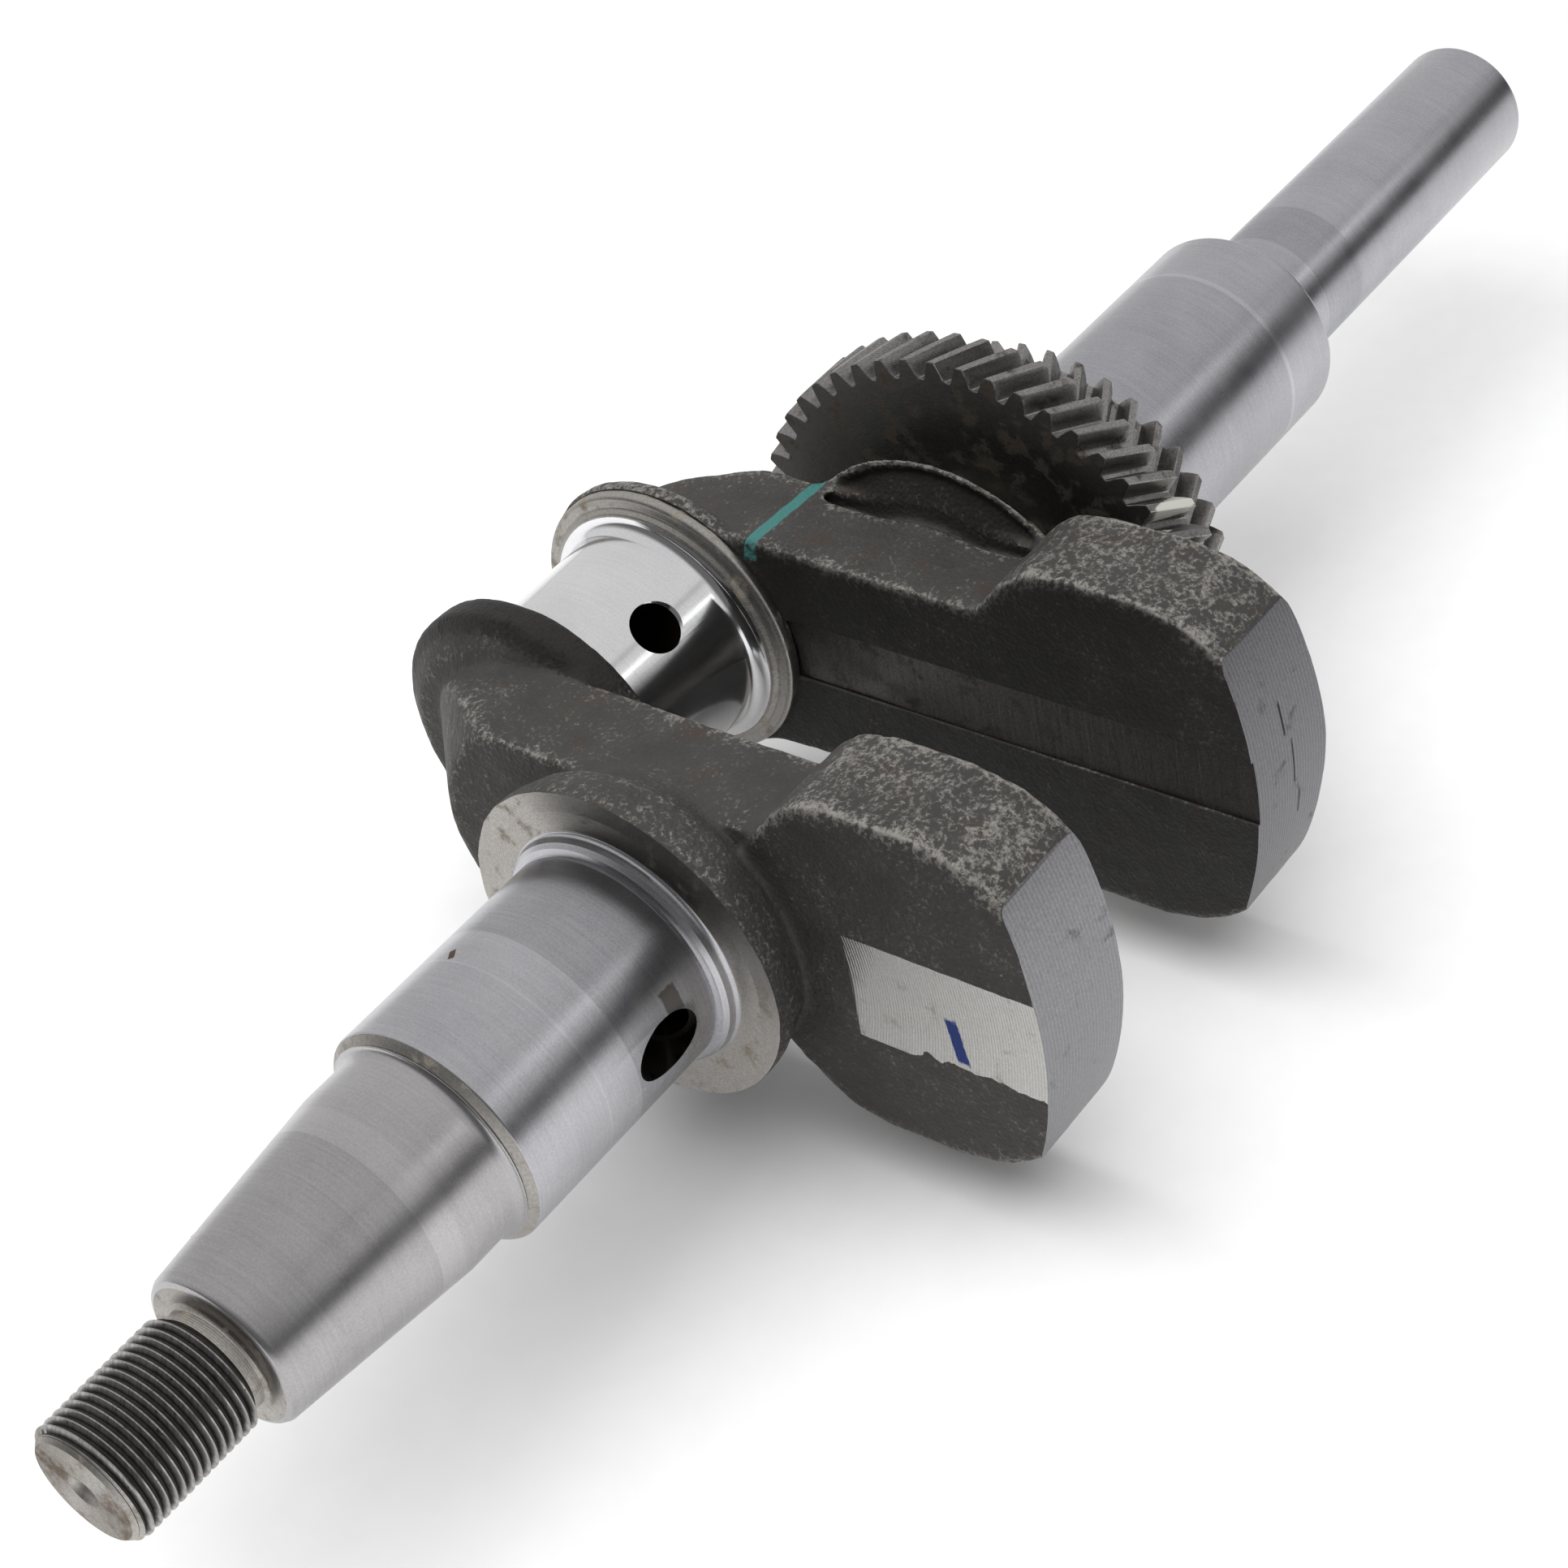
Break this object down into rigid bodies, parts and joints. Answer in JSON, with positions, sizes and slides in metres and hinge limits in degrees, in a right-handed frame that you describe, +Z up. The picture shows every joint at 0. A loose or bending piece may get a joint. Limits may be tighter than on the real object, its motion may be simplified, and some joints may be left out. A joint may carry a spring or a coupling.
{
  "type": "crankshaft",
  "caption": "Forged single-throw engine crankshaft with threaded tapered flywheel end, oil-drilled journals, counterweights, two opposed helical gears and a keyed output shaft.",
  "frame": {"origin": "on the crank axis, in the middle plane of the crankpin", "axes": "+X along the crank axis towards the power take-off end, +Y from the crank axis to the crankpin, +Z up, square to the plane of the throw, as the crank lies on its side"},
  "size_m": [0.3799, 0.1377, 0.0872],
  "materials": {
    "ground_steel": "fine ground satin",
    "polished_steel": "polished",
    "turned_steel": "turned, slightly grimy",
    "threads": "dark rolled thread",
    "forged_scale": "rough black forging scale",
    "gear_steel": "hobbed, oiled",
    "key_steel": "drawn key steel"
  },
  "bodies": {
    "crankshaft": {"threaded_end": "threads", "flywheel_taper": "ground_steel", "flywheel_journal": "ground_steel", "thrust_collar": "turned_steel", "flywheel_web": "forged_scale", "flywheel_counterweight": "forged_scale", "crankpin": "polished_steel", "pto_web": "forged_scale", "pto_counterweight": "forged_scale", "gear_seat": "turned_steel", "pto_journal": "ground_steel", "pto_shaft": "ground_steel", "timing_gear": "gear_steel", "balancer_gear": "gear_steel", "gear_key": "key_steel"},
    "loose_key": {"flywheel_key": "key_steel"}
  },
  "joints": [
    {"name": "flywheel_key_lift", "type": "slide", "parent": "crankshaft", "child": "loose_key", "axis": [0, 1, 0], "range_m": [0, 0.012]}
  ]
}
